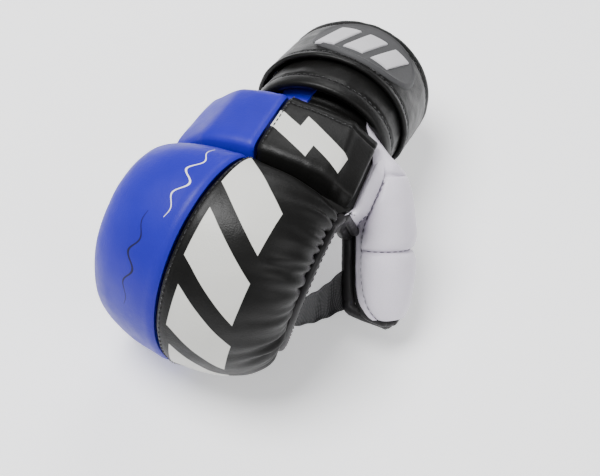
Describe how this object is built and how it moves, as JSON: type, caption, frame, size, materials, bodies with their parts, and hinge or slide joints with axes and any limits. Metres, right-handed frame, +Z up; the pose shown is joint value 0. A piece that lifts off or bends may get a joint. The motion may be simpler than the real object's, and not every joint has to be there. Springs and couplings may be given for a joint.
{
  "type": "martial arts sparring glove",
  "caption": "Right-hand open-palm sparring glove: padded knuckle and back blocks, padded thumb sleeve, finger loops, and a padded cuff with a wrap strap.",
  "frame": {"origin": "middle of the glove's box, on the surface that it lies on palm down", "axes": "+X towards the knuckles, +Y towards the thumb side, +Z up through the back of the hand"},
  "size_m": [0.2379, 0.1553, 0.1285],
  "materials": {
    "blue_leather": "satin royal blue artificial leather",
    "black_leather": "satin black artificial leather",
    "white_leather": "matt white artificial leather",
    "foam": "closed-cell foam",
    "lining": "brushed polyester",
    "elastic": "woven elastic",
    "tape": "hook and loop tape",
    "rubber": "matt moulded rubber",
    "emblem": "raised off-white print"
  },
  "bodies": {
    "hand": {"back_cover_blue": "blue_leather", "back_cover_black": "black_leather", "back_foam": "foam", "hand_lining": "lining", "wrist_bridge": "elastic", "palm_heel_panel": "white_leather", "palm_heel_binding": "black_leather", "thumb_web_panel": "white_leather"},
    "knuckle": {"knuckle_cover_blue": "blue_leather", "knuckle_cover_black": "black_leather", "knuckle_foam": "foam", "knuckle_lining": "lining", "knuckle_binding": "black_leather", "index_finger_loop": "elastic", "middle_finger_loop": "elastic", "ring_finger_loop": "elastic", "little_finger_loop": "elastic"},
    "thumb": {"thumb_cover": "white_leather", "thumb_foam_upper": "foam", "thumb_foam_lower": "foam", "thumb_lining": "lining", "thumb_loop": "elastic", "thumb_binding": "black_leather"},
    "cuff": {"cuff_shell": "black_leather", "cuff_lining": "lining", "cuff_gusset": "elastic", "cuff_mouth_binding": "black_leather", "cuff_end_binding": "black_leather", "cuff_loop_tape": "tape", "strap_root": "black_leather"},
    "strap_flap": {"strap_flap": "black_leather", "strap_badge": "rubber", "badge_bar_1": "emblem", "badge_bar_2": "emblem", "badge_bar_3": "emblem"},
    "strap_tip": {"strap_tip": "black_leather", "strap_hook_tape": "tape"}
  },
  "joints": [
    {"name": "knuckle_flex", "type": "hinge", "parent": "hand", "child": "knuckle", "pos_m": [0.0279, -0.0098, 0.104], "axis": [0, 1, 0], "range_deg": [-6, 14], "stiffness_Nm_per_rad": 5},
    {"name": "wrist_flex", "type": "hinge", "parent": "hand", "child": "cuff", "pos_m": [-0.0316, -0.0018, 0.078], "axis": [0, 1, 0], "range_deg": [-10, 10], "stiffness_Nm_per_rad": 5},
    {"name": "thumb_flex", "type": "hinge", "parent": "hand", "child": "thumb", "pos_m": [-0.0191, 0.0382, 0.0735], "axis": [0.6484, -0.669, 0.3633], "range_deg": [-8, 12], "stiffness_Nm_per_rad": 1},
    {"name": "strap_open", "type": "hinge", "parent": "cuff", "child": "strap_flap", "pos_m": [-0.07606, 0.03739, 0.06914], "axis": [-0.899, -0.031, -0.4368], "range_deg": [0, 60]},
    {"name": "strap_tip_open", "type": "hinge", "parent": "strap_flap", "child": "strap_tip", "pos_m": [-0.08086, -0.03013, 0.08762], "axis": [-0.8995, -0.0207, -0.4365], "range_deg": [0, 52]}
  ],
  "couplings": [
    {"joint": "strap_tip_open", "follows": "strap_open", "ratio": 0.85}
  ]
}
